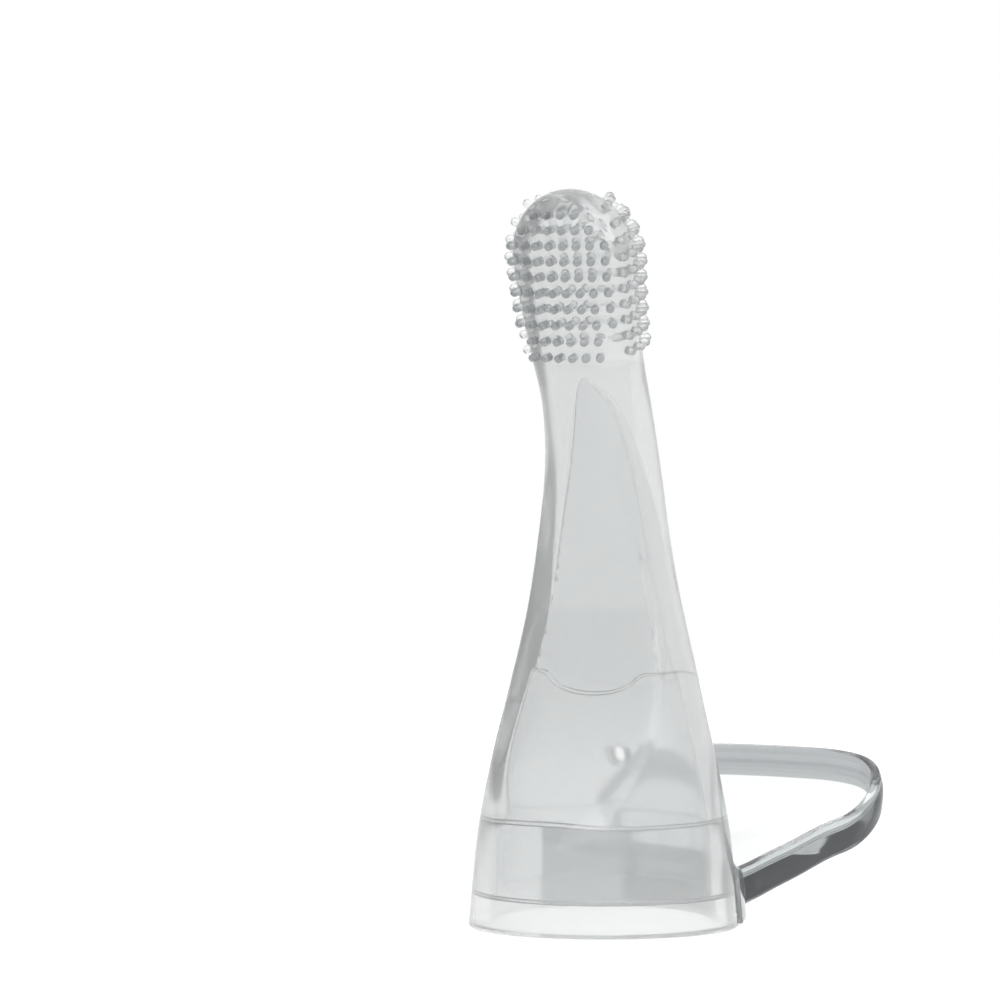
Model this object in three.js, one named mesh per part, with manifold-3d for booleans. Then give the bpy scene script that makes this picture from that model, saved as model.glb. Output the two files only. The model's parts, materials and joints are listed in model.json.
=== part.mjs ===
// Finger toothbrush for cleaning a pet's teeth: a clear silicone finger sleeve that tapers to a small
// bristled head, with a dished grip tab on a living hinge at the back of the mouth.
// Millimetres, +Z up, the sleeve stands on its open mouth. The scooped, bristled face looks to -Y and
// the grip tab reaches to +Y. The origin is the middle of the object's footprint.
import * as THREE from "three";
import { mergeVertices } from "three/addons/utils/BufferGeometryUtils.js";
import Module from "manifold-3d";

// Driving dimensions.
const MOUTH_RADIUS = 14.0;
const OVERALL_HEIGHT = 76.0;
const TAB_REACH = 36.2;
const GAP = 0.3;

// Levels of the sleeve, bottom to top.
const RING_TOP = 3.4;
const CUFF_TOP = 11.0;
const CAVITY_TOP = 42.0;
const SLEEVE_TOP = 46.0;
const NECK_TOP = 54.0;

// Inside of the sleeve.
const RING_BORE = 12.5;
const CUFF_BORE = 11.7;
const SLEEVE_WALL = 2.0;
const POCKET_START = 24.0;
const POCKET_STEP = 0.5;
const VENT_WIDTH = 1.9;
const VENT_HEIGHT = 1.5;
const VENT_LEVEL = 16.8;
const VENT_SIDE = -3.6;

// Outer form at stations up the axis: [height, value].
const RADIUS_STATIONS = [
  [0, 14.0],
  [11, 12.85],
  [24, 10.1],
  [36, 7.5],
  [46, 6.1],
  [54, 5.6],
  [60, 5.8],
  [69, 6.45],
];
const FORWARD_STATIONS = [
  [0, 0],
  [42, 0],
  [48, 0.3],
  [54, 1.5],
  [60, 3.8],
  [67, 5.7],
  [76, 6.9],
];
const SCOOP_STATIONS = [
  [7, 16.2],
  [11, 12.6],
  [18, 7.2],
  [24, 4.2],
  [31, 2.9],
  [37, 3.2],
  [46, 4.8],
  [57, 7.0],
  [67, 8.8],
  [76, 10.2],
];
const SHARPNESS_STATIONS = [
  [0, 30],
  [14, 28],
  [24, 16],
  [50, 14],
  [76, 14],
];
const DOME_START = 69.0;
const CROWN_RISES = [0.35, 0.6, 0.8, 0.93, 0.985];
const AROUND = 40;

// Head and its bristles.
const HEAD_LEAN = 0.27;
const ROWS = 10;
const ROW_PITCH = 1.6;
const LOWEST_ROW = 59.9;
const STRIP_THICKNESS = 0.35;
const STRIP_STEPS_FRONT = 8;
const STRIP_STEPS_BACK = 16;
const PARTING_ANGLE = 1.08;
const BRISTLE_RADIUS = 0.45;
const BRISTLE_HEIGHT = 1.05;
const BRISTLE_SIDES = 5;
const BRISTLE_BURIED = 0.25;
const FRONT_PITCH = 1.5;
const FRONT_COUNTS = [6, 6, 8, 8, 8, 8, 8, 8, 6, 4];
const BACK_PITCH = 1.5;
const CROWN_LIMIT = 0.82;

// Grip tab, in its own frame: s runs out along the tab, n stands square to its rim.
const HINGE_Y = 16.2;
const HINGE_Z = 2.0;
const TAB_SLOPE = 31 * THREE.MathUtils.DEG2RAD;
const TAB_TOP = 2.06;
const TAB_THICKNESS = 4.6;
const THINNING = 0.5;
const KEEL = 1.0;
const LIP_WIDTH = 1.2;
const DISH_DEPTH = 1.7;
const TAB_FLOOR = TAB_TOP - DISH_DEPTH;
const TAB_BOTTOM = TAB_TOP - TAB_THICKNESS;
const TAB_LENGTH = (TAB_REACH - HINGE_Y + TAB_TOP * Math.sin(TAB_SLOPE)) / Math.cos(TAB_SLOPE);
const SEAM = 0.1;

// Half of the tab's outline: [half width, share of the length], from its narrow neck to the tip.
const SPADE_STATIONS = [
  [6.5, 0.045],
  [7.8, 0.115],
  [9.2, 0.19],
  [10.8, 0.27],
  [13.0, 0.395],
  [15.1, 0.485],
  [16.0, 0.58],
  [16.1, 0.695],
  [15.4, 0.8],
  [14.3, 0.875],
  [12.6, 0.935],
  [10.2, 0.972],
  [6.7, 0.993],
  [0, 1],
];
const SPADE_STEPS = 64;

// Gusset between the mouth and the hinge.
const NECK_HALF_WIDTH = 6.4;
const ROOT_BOTTOM = 0.3;
const ROOT_TOP = 5.4;
const ROOT_HINGE_TOP = 2.5;
const ROOT_STEPS = 20;

// Section of the hinge web: [distance past the hinge line, height].
const WEB_SECTION = [
  [-0.05, 0.7],
  [1.15, 1.1],
  [0.4, 3.0],
  [-0.05, 3.0],
];
const WEB_INSET = 0.5;

// The footprint runs from the front of the mouth to the far end of the tab.
const SLEEVE_Y = (MOUTH_RADIUS - TAB_REACH) / 2;

const wasm = await Module();
wasm.setup();

const CLEAR = { color: 0xdfe1e2, roughness: 0.35, metalness: 0 };
const GLOSSY = { color: 0xe9eaeb, roughness: 0.1, metalness: 0 };
const TIPS = { color: 0xc4c8ca, roughness: 0.25, metalness: 0 };

// A smooth value at height z through the stations (cubic, level at both ends).
function at(stations, z) {
  const last = stations.length - 1;
  if (z <= stations[0][0]) return stations[0][1];
  if (z >= stations[last][0]) return stations[last][1];
  const i = stations.findIndex(([height]) => height > z) - 1;
  const slope = (a, b) => (stations[b][1] - stations[a][1]) / (stations[b][0] - stations[a][0]);
  const [z0, v0] = stations[i];
  const [z1, v1] = stations[i + 1];
  const step = z1 - z0;
  const m0 = i > 0 ? slope(i - 1, i + 1) : slope(0, 1);
  const m1 = i + 1 < last ? slope(i, i + 2) : slope(last - 1, last);
  const t = (z - z0) / step;
  const start = (1 + 2 * t) * (1 - t) * (1 - t) * v0 + t * (1 - t) * (1 - t) * step * m0;
  const end = t * t * (3 - 2 * t) * v1 - t * t * (1 - t) * step * m1;
  return start + end;
}

// Radius of the round part of the section, with a rounded crown on the head.
function roundRadius(z) {
  const rise = Math.max(0, (z - DOME_START) / (OVERALL_HEIGHT - DOME_START));
  return at(RADIUS_STATIONS, z) * Math.sqrt(Math.max(0, 1 - rise * rise));
}

// A point of the outer skin, moved in by inset. The angle is zero at the scooped front.
function skin(z, angle, inset = 0) {
  const round = Math.max(roundRadius(z) - inset, 0.001);
  const flat = Math.max(at(SCOOP_STATIONS, z) - at(FORWARD_STATIONS, z) - inset, 0.5);
  const facing = Math.max(Math.cos(angle), 0) / flat;
  const power = at(SHARPNESS_STATIONS, z);
  const reach = (round ** -power + facing ** power) ** (-1 / power);
  const y = SLEEVE_Y - at(FORWARD_STATIONS, z) - reach * Math.cos(angle);
  return new THREE.Vector3(reach * Math.sin(angle), y, z);
}

// A closed solid through rings of points, each ring listed the same way round, with flat or pointed ends.
function loft(rings) {
  const count = rings[0].length;
  const centres = [rings[0], rings[rings.length - 1]].map((ring) =>
    ring.reduce((sum, p) => sum.add(p), new THREE.Vector3()).divideScalar(count),
  );
  const points = [...rings.flat(), ...centres];
  const top = (rings.length - 1) * count;
  const index = [];
  for (let i = 0; i < count; i += 1) {
    const j = (i + 1) % count;
    for (let r = 0; r < top; r += count) {
      index.push(r + i, r + j, r + count + j, r + i, r + count + j, r + count + i);
    }
    index.push(points.length - 2, j, i);
    index.push(points.length - 1, top + i, top + j);
  }
  const geometry = new THREE.BufferGeometry().setFromPoints(points);
  geometry.setIndex(index);
  return geometry;
}

// One ring of the skin at a height, and rings between two heights.
function skinRing(z, inset) {
  return Array.from({ length: AROUND }, (_, k) => skin(z, (2 * Math.PI * k) / AROUND, inset));
}

function skinRings(bottom, top, steps, inset = 0) {
  return Array.from({ length: steps + 1 }, (_, i) => skinRing(bottom + ((top - bottom) * i) / steps, inset));
}

// three.js geometry to a manifold-3d solid and back.
function solid(geometry) {
  const bare = new THREE.BufferGeometry();
  const flat = geometry.index ? geometry.toNonIndexed() : geometry;
  bare.setAttribute("position", flat.getAttribute("position"));
  const merged = mergeVertices(bare, 1e-4);
  return new wasm.Manifold(
    new wasm.Mesh({
      numProp: 3,
      vertProperties: new Float32Array(merged.attributes.position.array),
      triVerts: new Uint32Array(merged.index.array),
    }),
  );
}

function geometryOf(body) {
  const mesh = body.getMesh();
  const corners = new Float32Array(mesh.numVert * 3);
  for (let i = 0; i < mesh.numVert; i += 1) {
    corners.set(mesh.vertProperties.subarray(i * mesh.numProp, i * mesh.numProp + 3), i * 3);
  }
  const geometry = new THREE.BufferGeometry();
  geometry.setAttribute("position", new THREE.BufferAttribute(corners, 3));
  geometry.setIndex(new THREE.BufferAttribute(new Uint32Array(mesh.triVerts), 1));
  return geometry.toNonIndexed();
}

function named(name, geometry, look) {
  geometry.computeVertexNormals();
  const mesh = new THREE.Mesh(geometry, new THREE.MeshStandardMaterial({ ...look, flatShading: true }));
  mesh.name = name;
  return mesh;
}

// A turned band between two levels, closed on itself: outer skin outside, a plain bore inside.
function turnedBand(bottom, top, bore) {
  const profile = [
    new THREE.Vector2(bore, bottom),
    new THREE.Vector2(roundRadius(bottom), bottom),
    new THREE.Vector2(roundRadius(top), top),
    new THREE.Vector2(bore, top),
    new THREE.Vector2(bore, bottom),
  ];
  const geometry = new THREE.LatheGeometry(profile, AROUND);
  geometry.rotateX(Math.PI / 2);
  geometry.translate(0, SLEEVE_Y, 0);
  return geometry;
}

// The tapered sleeve: outer skin less the finger cavity, its narrower fingertip pocket and the vent.
function fingerSleeve() {
  const outside = solid(loft(skinRings(CUFF_TOP, SLEEVE_TOP, 14)));
  const wide = solid(loft(skinRings(CUFF_TOP - 1, POCKET_START, 6, SLEEVE_WALL)));
  const pocketRings = skinRings(POCKET_START - GAP, CAVITY_TOP, 8, SLEEVE_WALL + POCKET_STEP);
  const pocket = solid(loft(pocketRings));
  const ventDepth = 2 * SLEEVE_WALL + 2;
  const ventGeometry = new THREE.BoxGeometry(VENT_WIDTH, ventDepth, VENT_HEIGHT);
  ventGeometry.translate(VENT_SIDE, skin(VENT_LEVEL, Math.PI).y - ventDepth / 2 + 1, VENT_LEVEL);
  return geometryOf(outside.subtract(wide.add(pocket)).subtract(solid(ventGeometry)));
}

// The plain core of the head, its skin set back by the thickness of the bristle strips.
function headCore() {
  const inset = STRIP_THICKNESS + GAP;
  const rings = skinRings(NECK_TOP + GAP, DOME_START, 6, inset);
  const crown = CROWN_RISES.map((rise) =>
    skinRing(DOME_START + (OVERALL_HEIGHT - DOME_START) * rise, inset),
  );
  return loft([...rings, ...crown]);
}

// The skin point of a leaning row: rows lie square to the head's own axis, so their fronts hang lower.
function rowSkin(axisLevel, angle, inset = 0) {
  let point = skin(axisLevel, angle, inset);
  for (let pass = 0; pass < 12; pass += 1) {
    const forward = SLEEVE_Y - at(FORWARD_STATIONS, point.z) - point.y;
    const level = Math.min(axisLevel - HEAD_LEAN * forward, OVERALL_HEIGHT - 0.15);
    point = skin((point.z + level) / 2, angle, inset);
  }
  return point;
}

function rowNormal(axisLevel, angle) {
  const across = rowSkin(axisLevel, angle + 0.02).sub(rowSkin(axisLevel, angle - 0.02));
  const up = rowSkin(axisLevel + 0.1, angle).sub(rowSkin(axisLevel - 0.1, angle));
  return across.cross(up).normalize();
}

// A bristle: a short post with a pointed round end, its foot buried in the strip.
function bristle(foot, direction) {
  const shaft = BRISTLE_HEIGHT - BRISTLE_RADIUS;
  const profile = [
    new THREE.Vector2(0, -BRISTLE_BURIED),
    new THREE.Vector2(BRISTLE_RADIUS, -BRISTLE_BURIED),
    new THREE.Vector2(BRISTLE_RADIUS, shaft),
    new THREE.Vector2(0, BRISTLE_HEIGHT),
  ];
  const geometry = new THREE.LatheGeometry(profile, BRISTLE_SIDES);
  const turn = new THREE.Quaternion().setFromUnitVectors(new THREE.Vector3(0, 1, 0), direction);
  geometry.applyQuaternion(turn);
  geometry.translate(foot.x, foot.y, foot.z);
  return solid(geometry);
}

// One strip of skin that carries a row of bristles, between two angles.
function strip(axisLevel, from, to, steps) {
  const half = (ROW_PITCH - GAP) / 2;
  const rings = Array.from({ length: steps + 1 }, (_, i) => {
    const angle = from + ((to - from) * i) / steps;
    const edge = (level, inset) => rowSkin(level, angle, inset);
    return [
      edge(axisLevel + half, STRIP_THICKNESS),
      edge(axisLevel + half, 0),
      edge(axisLevel - half, 0),
      edge(axisLevel - half, STRIP_THICKNESS),
    ];
  });
  return solid(loft(rings));
}

function frontRow(row) {
  const level = LOWEST_ROW + ROW_PITCH * row;
  let body = strip(level, -PARTING_ANGLE, PARTING_ANGLE, STRIP_STEPS_FRONT);
  const count = FRONT_COUNTS[row];
  for (let i = 0; i < count; i += 1) {
    const x = FRONT_PITCH * (i - (count - 1) / 2);
    let angle = 0;
    for (let pass = 0; pass < 20; pass += 1) {
      angle += (x - rowSkin(level, angle).x) * 0.12;
    }
    const direction = new THREE.Vector3(0, -1, -HEAD_LEAN).normalize();
    body = body.add(bristle(rowSkin(level, angle), direction));
  }
  return geometryOf(body);
}

function backRow(row) {
  const level = LOWEST_ROW + ROW_PITCH * row;
  const from = PARTING_ANGLE + GAP / 5;
  const to = 2 * Math.PI - from;
  let body = strip(level, from, to, STRIP_STEPS_BACK);
  const clear = BRISTLE_RADIUS / 5;
  const count = Math.round(((to - from) * roundRadius(level)) / BACK_PITCH);
  for (let i = 0; i < count; i += 1) {
    const angle = from + clear + ((to - from - 2 * clear) * (i + 0.5)) / count;
    const direction = rowNormal(level, angle);
    if (direction.z < CROWN_LIMIT) body = body.add(bristle(rowSkin(level, angle), direction));
  }
  return geometryOf(body);
}

// The tab's outline in its own plane: a spade with a narrow neck, drawn smoothly through its stations.
function spade() {
  const right = SPADE_STATIONS.map(([half, share]) => new THREE.Vector2(half, share * TAB_LENGTH));
  const left = right.slice(0, -1).reverse();
  const knots = [...right, ...left.map((point) => new THREE.Vector2(-point.x, point.y))];
  const curve = new THREE.SplineCurve(knots);
  return new wasm.CrossSection([curve.getPoints(SPADE_STEPS).map((point) => [point.x, point.y])]);
}

// Thins the underside of the tab towards its tip and stands the tip's wall upright.
function shapeTowardsTip(body) {
  return body.warp((point) => {
    const along = THREE.MathUtils.clamp(point[1] / TAB_LENGTH, 0, 1);
    const below = Math.min(point[2] - TAB_FLOOR, 0);
    point[2] -= below * THINNING * along;
    point[1] -= (TAB_TOP - point[2]) * Math.tan(TAB_SLOPE) * along * along;
  });
}

// A slab of the spade, drawn in all round by inset, between two heights in the tab's frame.
function spadeSlab(inset, low, high) {
  return spade().offset(-inset, "Round").extrude(high - low).translate([0, 0, low]);
}

// The tab's plate: a slab with a narrower keel under it.
function tabPlate() {
  const slab = spadeSlab(0, TAB_BOTTOM + KEEL, TAB_FLOOR);
  const keel = spadeSlab(KEEL, TAB_BOTTOM, TAB_BOTTOM + KEEL + GAP);
  return geometryOf(shapeTowardsTip(slab.add(keel)));
}

// The raised lip round the dish.
function tabRim() {
  const whole = spadeSlab(0, TAB_FLOOR + SEAM, TAB_TOP);
  const dish = spadeSlab(LIP_WIDTH, TAB_BOTTOM, TAB_TOP + KEEL);
  return geometryOf(shapeTowardsTip(whole.subtract(dish)));
}

// The gusset that carries the hinge: it leaves the mouth's wall at a tangent, narrows to the neck and
// slopes down to the hinge.
function tabRoot() {
  const stand = MOUTH_RADIUS + GAP;
  const neck = new THREE.Vector2(NECK_HALF_WIDTH, HINGE_Y - GAP);
  const tangent = Math.atan2(neck.x, neck.y) + Math.acos(stand / neck.length());
  const wall = Array.from({ length: ROOT_STEPS + 1 }, (_, i) => {
    const angle = tangent - (2 * tangent * i) / ROOT_STEPS;
    return [stand * Math.sin(angle), stand * Math.cos(angle)];
  });
  const outline = new wasm.CrossSection([[...wall, [-neck.x, neck.y], [neck.x, neck.y]]], "EvenOdd");
  const block = outline.extrude(ROOT_TOP - ROOT_BOTTOM).translate([0, 0, ROOT_BOTTOM]);
  const cut = block.trimByPlane([0, -1, -1], -(neck.y + ROOT_HINGE_TOP) / Math.SQRT2);
  return geometryOf(cut.translate([0, SLEEVE_Y, 0]));
}

// The thin web that bends between the gusset and the tab.
function hingeWeb() {
  const width = 2 * (NECK_HALF_WIDTH - WEB_INSET);
  const outline = new THREE.Shape(WEB_SECTION.map(([out, z]) => new THREE.Vector2(HINGE_Y + out, z)));
  const geometry = new THREE.ExtrudeGeometry(outline, { depth: width, bevelEnabled: false });
  geometry.rotateX(Math.PI / 2);
  geometry.rotateZ(Math.PI / 2);
  geometry.translate(-width / 2, SLEEVE_Y, 0);
  return geometry;
}

const brush = new THREE.Group();
brush.add(named("mouth_ring", turnedBand(0, RING_TOP, RING_BORE), GLOSSY));
brush.add(named("cuff", turnedBand(RING_TOP + GAP, CUFF_TOP - GAP, CUFF_BORE), CLEAR));
brush.add(named("finger_sleeve", fingerSleeve(), CLEAR));
brush.add(named("flex_neck", loft(skinRings(SLEEVE_TOP + GAP, NECK_TOP, 4)), CLEAR));
brush.add(named("head_core", headCore(), CLEAR));
for (let row = 0; row < ROWS; row += 1) {
  const number = String(row + 1).padStart(2, "0");
  brush.add(named(`front_bristle_row_${number}`, frontRow(row), TIPS));
  brush.add(named(`back_bristle_row_${number}`, backRow(row), TIPS));
}
brush.add(named("tab_root", tabRoot(), GLOSSY));
brush.add(named("hinge_web", hingeWeb(), GLOSSY));

const tab = new THREE.Group();
tab.position.set(0, SLEEVE_Y + HINGE_Y, HINGE_Z);
tab.rotation.x = TAB_SLOPE;
tab.add(named("thumb_tab", tabPlate(), GLOSSY));
tab.add(named("tab_rim", tabRim(), GLOSSY));
brush.add(tab);

export default brush;
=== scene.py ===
"""Clear silicone finger toothbrush with a bristled head and a dished grip tab.

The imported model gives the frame, the bodies and the places. Every visible surface is a closed surface
worked out on a grid with numpy, in metres, in the frame of the model: +Z up the sleeve, -Y towards the
scooped and bristled face, +Y towards the grip tab.
"""
import json
import logging
import math
from dataclasses import dataclass
from enum import Enum
from typing import Iterable, Sequence

import bpy
import numpy as np
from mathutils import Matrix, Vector


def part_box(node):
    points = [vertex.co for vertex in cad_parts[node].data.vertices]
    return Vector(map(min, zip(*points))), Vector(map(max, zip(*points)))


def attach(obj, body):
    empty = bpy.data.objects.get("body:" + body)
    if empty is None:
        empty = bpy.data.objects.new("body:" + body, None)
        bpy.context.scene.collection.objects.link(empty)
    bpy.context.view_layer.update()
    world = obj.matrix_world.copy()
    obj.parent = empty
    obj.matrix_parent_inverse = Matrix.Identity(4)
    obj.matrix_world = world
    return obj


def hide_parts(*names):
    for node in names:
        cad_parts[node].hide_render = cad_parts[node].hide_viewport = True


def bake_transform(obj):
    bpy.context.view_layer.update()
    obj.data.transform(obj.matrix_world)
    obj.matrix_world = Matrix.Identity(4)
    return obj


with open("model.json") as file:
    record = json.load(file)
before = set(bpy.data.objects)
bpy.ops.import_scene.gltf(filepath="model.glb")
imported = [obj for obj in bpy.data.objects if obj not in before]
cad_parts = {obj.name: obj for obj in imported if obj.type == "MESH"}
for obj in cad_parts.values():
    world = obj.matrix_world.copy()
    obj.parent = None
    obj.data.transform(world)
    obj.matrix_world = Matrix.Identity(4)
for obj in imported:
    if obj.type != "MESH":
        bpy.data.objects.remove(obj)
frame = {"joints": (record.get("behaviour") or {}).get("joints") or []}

log = logging.getLogger("finger_toothbrush")

MM = 0.001
SHARP_DEGREES = 48
CROWN_TOP = 76.0
MOUTH_BORE = 11.75
CUFF_BORE = 11.25
Stations = Sequence[tuple[float, float]]


class Finish(Enum):
    """The record's material slot names; nothing in this script uses them, as each piece takes its finish from
    the palette.
    """

    CLEAR = "clear_silicone"
    GLOSS = "gloss_silicone"
    BRISTLE = "bristle_silicone"


# --- Mesh helpers ---


def smooth_through(stations: Stations, height: np.ndarray) -> np.ndarray:
    """Carry a value smoothly up through a few stations.

    The curve is a cubic Hermite spline whose slope at each station is the slope between its neighbours.

    Args:
        stations: Pairs of height and value, in millimetres, rising.
        height: Heights at which the value is wanted, in millimetres.

    Returns:
        The value at each height, in millimetres.
    """
    z = np.array([station[0] for station in stations], float)
    v = np.array([station[1] for station in stations], float)
    slope = np.empty_like(v)
    slope[1:-1] = (v[2:] - v[:-2]) / (z[2:] - z[:-2])
    slope[0] = (v[1] - v[0]) / (z[1] - z[0])
    slope[-1] = (v[-1] - v[-2]) / (z[-1] - z[-2])
    h = np.clip(height, z[0], z[-1])
    i = np.clip(np.searchsorted(z, h, side="right") - 1, 0, len(z) - 2)
    step = z[i + 1] - z[i]
    t = (h - z[i]) / step
    start = (1 + 2 * t) * (1 - t) ** 2 * v[i] + t * (1 - t) ** 2 * step * slope[i]
    end = t * t * (3 - 2 * t) * v[i + 1] - t * t * (1 - t) * step * slope[i + 1]
    return start + end


def grid_faces(rows: int, columns: int) -> np.ndarray:
    """List the quads of a grid whose columns run round and join up.

    Args:
        rows: Number of rings.
        columns: Points in each ring.

    Returns:
        Vertex indices, four to a face.
    """
    r, c = np.meshgrid(np.arange(rows - 1), np.arange(columns), indexing="ij")
    below, above = r * columns, (r + 1) * columns
    right = (c + 1) % columns
    return np.stack([below + c, below + right, above + right, above + c], -1).reshape(-1, 4)


def cap_faces(start: int, columns: int, centre: int, flip: bool) -> np.ndarray:
    """List the triangles that close a ring onto one centre point.

    Args:
        start: First vertex of the ring.
        columns: Points in the ring.
        centre: Index of the centre vertex.
        flip: True to turn the faces over.

    Returns:
        Vertex indices, three to a face.
    """
    c = np.arange(columns)
    a, b = start + c, start + (c + 1) % columns
    tip = np.full(columns, centre)
    return np.stack([b, a, tip] if flip else [a, b, tip], -1)


def make_object(name: str, points: np.ndarray, faces: Iterable[Sequence[int]]) -> bpy.types.Object:
    """Put points and faces into a mesh object at the origin, smooth but for its sharp corners.

    Args:
        name: Name of the object and its mesh.
        points: Vertex places in metres, one row each.
        faces: Vertex indices of each face.

    Returns:
        The new object, linked to the scene.
    """
    mesh = bpy.data.meshes.new(name)
    mesh.from_pydata(points.tolist(), [], [list(face) for face in faces])
    mesh.polygons.foreach_set("use_smooth", np.ones(len(mesh.polygons), bool))
    mesh.set_sharp_from_angle(angle=math.radians(SHARP_DEGREES))
    mesh.update()
    made = bpy.data.objects.new(name, mesh)
    bpy.context.scene.collection.objects.link(made)
    return made


def closed_tube(name: str, rings: np.ndarray) -> bpy.types.Object:
    """Make a solid from rings whose first and last one each close onto their own middle.

    Args:
        name: Name of the object.
        rings: Points, rings by columns by three, in metres.

    Returns:
        The closed solid.
    """
    rows, columns = rings.shape[:2]
    ends = np.stack([rings[0].mean(0), rings[-1].mean(0)])
    points = np.concatenate([rings.reshape(-1, 3), ends])
    first = cap_faces(0, columns, rows * columns, True)
    last = cap_faces((rows - 1) * columns, columns, rows * columns + 1, False)
    faces = grid_faces(rows, columns).tolist() + first.tolist() + last.tolist()
    return make_object(name, points, faces)


# --- Materials ---


def linear(hex_colour: str) -> tuple[float, float, float, float]:
    """Turn an sRGB hex colour into linear values with full alpha.

    Args:
        hex_colour: Six hex digits after a hash.

    Returns:
        Linear red, green, blue and alpha.
    """
    parts = [int(hex_colour[i:i + 2], 16) / 255 for i in (1, 3, 5)]
    made = [c / 12.92 if c <= 0.04045 else ((c + 0.055) / 1.055) ** 2.4 for c in parts]
    return made[0], made[1], made[2], 1.0


def add_node(
    tree: bpy.types.NodeTree,
    kind: str,
    settings: dict[str, object] | None = None,
    values: dict[str, object] | None = None,
    links: dict[str, bpy.types.NodeSocket] | None = None,
) -> bpy.types.Node:
    """Add one node with its settings, socket values and links.

    Args:
        tree: The node tree that the node joins.
        kind: Node type, such as ShaderNodeBump.
        settings: Properties of the node.
        values: Input socket names and their values.
        links: Input socket names and the output sockets that feed them.

    Returns:
        The new node.
    """
    node = tree.nodes.new(kind)
    for key, value in (settings or {}).items():
        setattr(node, key, value)
    for key, value in (values or {}).items():
        node.inputs[key].default_value = value
    for key, socket in (links or {}).items():
        tree.links.new(socket, node.inputs[key])
    return node


@dataclass(frozen=True)
class MouldedSilicone:
    """Clear liquid silicone rubber, injection moulded and left unpainted.

    The eye sees a water-clear body with soft, slightly milky edges: the mould's surface sets the gloss,
    and a faint waviness from its shrinkage bends what shows through. Towards the silhouette the base colour
    turns to the rim colour, painted shade for the dark outline that clear silicone shows at its edges.

    Attributes:
        name: Material name.
        colour: Tint of the light that passes, as an sRGB hex value.
        roughness: Middle of the surface roughness.
        rim: Painted shade at the very edge of the form: the colour that the base turns to at grazing view,
            standing in for the dark outline where the light has the longest way through.
        clear: Share of the light that passes straight through. The rest is scattered by the milky body.
        ior: Refractive index, 1.41 for silicone.
        wave_mm: Size of the shrinkage waves.
        wave_depth_mm: Depth of the waves.
        grain_mm: Size of the mould's fine texture.
        grain_depth_mm: Depth of the fine texture.
        cloud_mm: Size of the clear and misty patches.
        cloud: Spread of the roughness between them.
        edge_shade_start: Facing value at which the painted edge shade begins: 0 is square on and 1 is edge
            on.
    """

    name: str
    colour: str
    roughness: float
    rim: str = "#8E9194"
    clear: float = 1.0
    ior: float = 1.41
    wave_mm: float = 6.0
    wave_depth_mm: float = 0.01
    grain_mm: float = 0.35
    grain_depth_mm: float = 0.002
    cloud_mm: float = 9.0
    cloud: float = 0.04
    edge_shade_start: float = 0.72

    def build(self) -> bpy.types.Material:
        """Make the material.

        Returns:
            The material, ready to be put on a piece.
        """
        material = bpy.data.materials.new(self.name)
        material.use_nodes = True
        tree = material.node_tree
        tree.nodes.clear()
        place = add_node(tree, "ShaderNodeTexCoord").outputs["Object"]
        cloud, wave, grain = (
            add_node(
                tree, "ShaderNodeTexNoise",
                values={"Scale": 1 / (size * MM), "Detail": detail}, links={"Vector": place},
            ).outputs["Fac"]
            for size, detail in ((self.cloud_mm, 3.0), (self.wave_mm, 1.0), (self.grain_mm, 2.0))
        )
        rough = add_node(
            tree, "ShaderNodeMapRange",
            values={"From Min": 0.3, "From Max": 0.7, "To Min": max(self.roughness - self.cloud, 0.0),
                    "To Max": self.roughness + self.cloud},
            links={"Value": cloud},
        )
        broad = add_node(
            tree, "ShaderNodeBump",
            values={"Strength": 1.0, "Distance": self.wave_depth_mm * MM},
            links={"Height": wave},
        )
        fine = add_node(
            tree, "ShaderNodeBump",
            values={"Strength": 1.0, "Distance": self.grain_depth_mm * MM},
            links={"Height": grain, "Normal": broad.outputs["Normal"]},
        )
        # Painted shade: as the surface turns edge on, the base colour blends from the colour to the rim
        # colour, a painted dark outline along every silhouette.
        facing = add_node(tree, "ShaderNodeLayerWeight", values={"Blend": 0.5})
        edge = add_node(
            tree, "ShaderNodeMapRange", settings={"interpolation_type": "SMOOTHSTEP"},
            values={"From Min": self.edge_shade_start, "From Max": 1.0, "To Min": 0.0, "To Max": 1.0},
            links={"Value": facing.outputs["Facing"]},
        )
        tint = add_node(
            tree, "ShaderNodeMix", settings={"data_type": "RGBA"},
            values={6: linear(self.colour), 7: linear(self.rim)}, links={0: edge.outputs["Result"]},
        )
        shader = add_node(
            tree, "ShaderNodeBsdfPrincipled",
            values={"Transmission Weight": self.clear, "IOR": self.ior},
            links={
                "Base Color": tint.outputs[2], "Roughness": rough.outputs["Result"],
                "Normal": fine.outputs["Normal"],
            },
        )
        add_node(tree, "ShaderNodeOutputMaterial", links={"Surface": shader.outputs["BSDF"]})
        return material


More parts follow.
